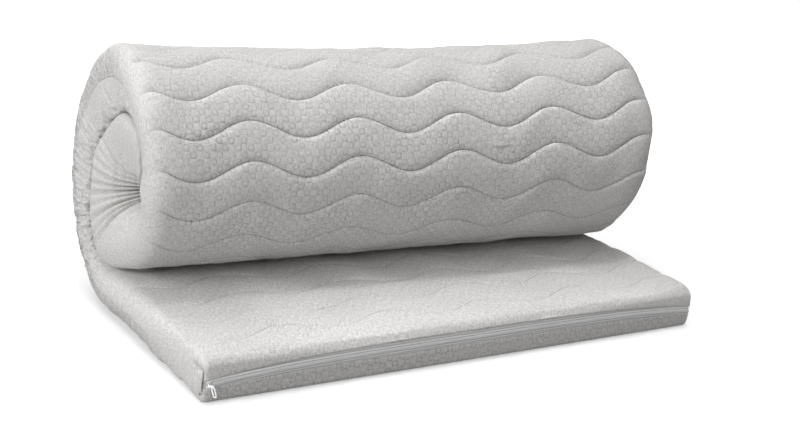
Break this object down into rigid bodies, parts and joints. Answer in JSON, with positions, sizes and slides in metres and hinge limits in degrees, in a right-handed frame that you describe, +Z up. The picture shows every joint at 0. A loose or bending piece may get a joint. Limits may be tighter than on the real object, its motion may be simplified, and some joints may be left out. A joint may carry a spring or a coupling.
{
  "type": "rolled mattress topper",
  "caption": "Quilted foam mattress topper in a light grey knit cover, rolled up from one end with its zipped end lying flat in front.",
  "frame": {"origin": "on the floor, under the middle of the object's bounding box", "axes": "+X along the roll, +Z up; the zipped end of the flat part faces -Y"},
  "size_m": [0.9208, 0.5206, 0.4047],
  "materials": {
    "cover_knit": "matt double-jersey knit with a raised tone-on-tone basket weave",
    "zip_tape": "matt woven tape",
    "zip_chain": "satin nylon coil",
    "zip_metal": "satin"
  },
  "bodies": {
    "root": {"topper": "cover_knit", "zip_tape_upper": "zip_tape", "zip_tape_lower": "zip_tape", "zip_chain": "zip_chain", "zip_slider": "zip_metal", "zip_pull": "zip_metal"}
  },
  "joints": []
}
